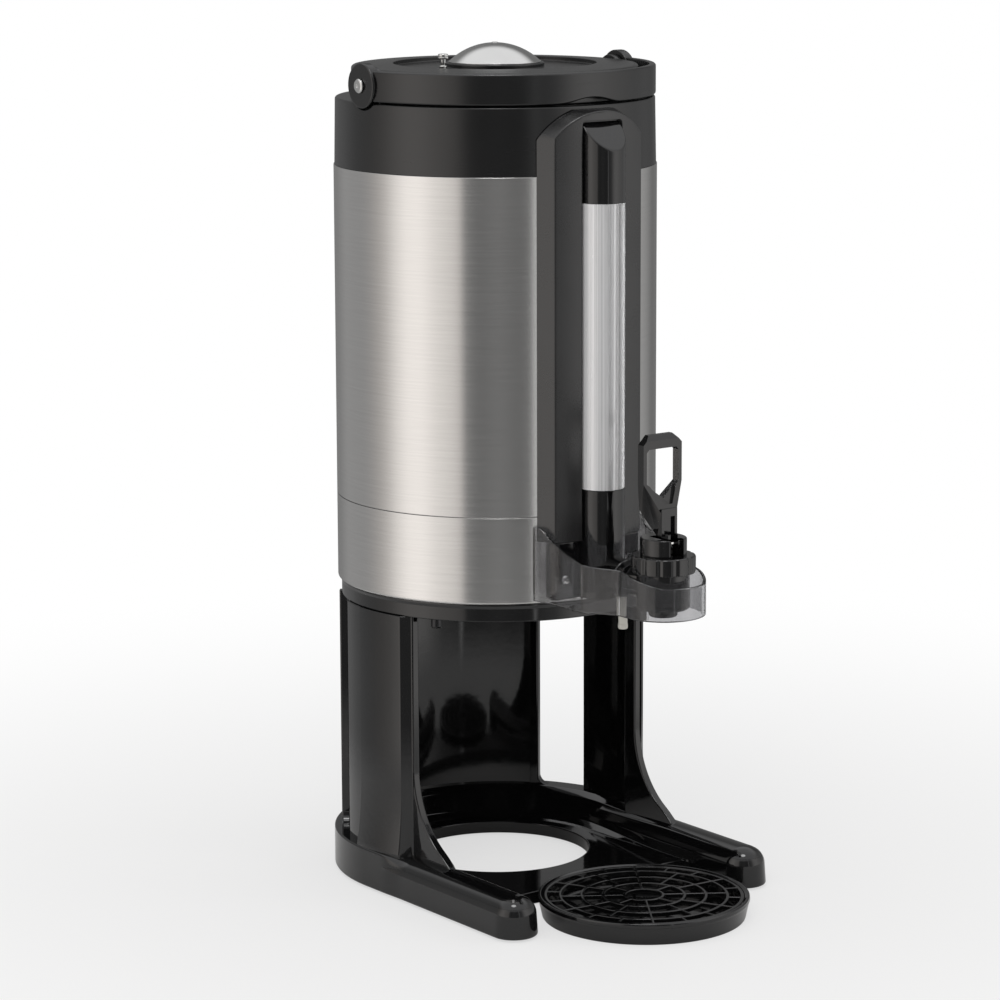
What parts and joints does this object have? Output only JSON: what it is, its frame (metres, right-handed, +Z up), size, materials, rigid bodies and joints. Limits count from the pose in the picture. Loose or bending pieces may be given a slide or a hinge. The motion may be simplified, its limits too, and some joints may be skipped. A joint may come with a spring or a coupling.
{
  "type": "insulated beverage dispenser",
  "caption": "Steel vacuum-walled drink dispenser on a moulded stand, with sight gauge, lever tap, splash guard, lift-off lid, folding bail handle and drip tray.",
  "frame": {"origin": "on the table under the middle of the whole footprint, from the tray's front edge to the stand's rear edge", "axes": "+Z up; the tap and the tray face -Y; +X runs to the tap's left as seen from the front; the plane X = 0 halves the object"},
  "size_m": [0.229, 0.3504, 0.5734],
  "materials": {
    "steel_shell": "satin brushed stainless steel, fine grain round the body",
    "liner_steel": "dull drawn stainless steel",
    "bright_steel": "polished stainless steel",
    "satin_black": "satin black moulded plastic",
    "housing_grey": "satin charcoal moulded plastic",
    "gloss_black": "glossy black moulded plastic",
    "clear_cover": "clear moulded cover",
    "clear_tube": "clear glass tube",
    "smoke_guard": "smoke-tinted translucent plastic",
    "white_nylon": "off-white nylon",
    "white_silicone": "white silicone",
    "dark_steel": "black-finished screw steel",
    "foot_rubber": "black rubber"
  },
  "bodies": {
    "dispenser": {"lower_band": "steel_shell", "outer_shell": "steel_shell", "inner_liner": "liner_steel", "vessel_base": "gloss_black", "collar": "satin_black", "pivot_pins": "bright_steel", "gauge_housing": "housing_grey", "gauge_cover": "clear_cover", "gauge_glass": "clear_tube", "glass_clip": "gloss_black", "gauge_cap": "gloss_black", "gauge_sleeve": "gloss_black", "glass_seals": "white_silicone", "drain_plug": "white_nylon", "tap_shank": "bright_steel", "shank_nut": "bright_steel", "shank_washer": "white_silicone", "shank_collar": "gloss_black", "tap_body": "gloss_black", "tap_bonnet": "gloss_black", "tap_spring": "bright_steel", "handle_pin": "bright_steel", "tap_guard": "smoke_guard", "guard_screws": "bright_steel", "base_frame": "gloss_black", "left_pillar": "gloss_black", "right_pillar": "gloss_black", "back_panel": "gloss_black", "support_ring": "gloss_black", "vessel_screws": "dark_steel", "pillar_screws": "dark_steel", "rubber_feet": "foot_rubber"},
    "bail": {"bail_handle": "satin_black"},
    "lid": {"lid_body": "satin_black", "lid_gasket": "white_silicone", "lid_dome": "bright_steel", "vent_stem": "bright_steel"},
    "tap_handle": {"tap_handle": "gloss_black"},
    "plunger": {"tap_stem": "bright_steel", "stem_pin": "bright_steel", "seat_cup": "white_silicone"},
    "tray": {"drip_tray": "gloss_black"},
    "grille": {"drip_grille": "gloss_black"}
  },
  "joints": [
    {"name": "bail_fold", "type": "hinge", "parent": "dispenser", "child": "bail", "pos_m": [0, 0.06075, 0.54875], "axis": [-1, 0, 0], "range_deg": [0, 180]},
    {"name": "lid_lift", "type": "slide", "parent": "dispenser", "child": "lid", "axis": [0, 0, 1], "range_m": [0, 0.06]},
    {"name": "handle_tilt", "type": "hinge", "parent": "dispenser", "child": "tap_handle", "pos_m": [0, -0.13075, 0.258], "axis": [1, 0, 0], "range_deg": [0, 35], "stiffness_Nm_per_rad": 0.3, "springref_deg": -14.32},
    {"name": "stem_lift", "type": "slide", "parent": "dispenser", "child": "plunger", "axis": [0, 0, 1], "range_m": [0, 0.0043], "deforming": ["tap_spring"]},
    {"name": "tray_lift", "type": "slide", "parent": "dispenser", "child": "tray", "axis": [0, 0, 1], "range_m": [0, 0.05]},
    {"name": "grille_lift", "type": "slide", "parent": "tray", "child": "grille", "axis": [0, 0, 1], "range_m": [0, 0.04]}
  ],
  "couplings": [
    {"joint": "stem_lift", "follows": "handle_tilt", "m_per_rad": 0.006875}
  ]
}
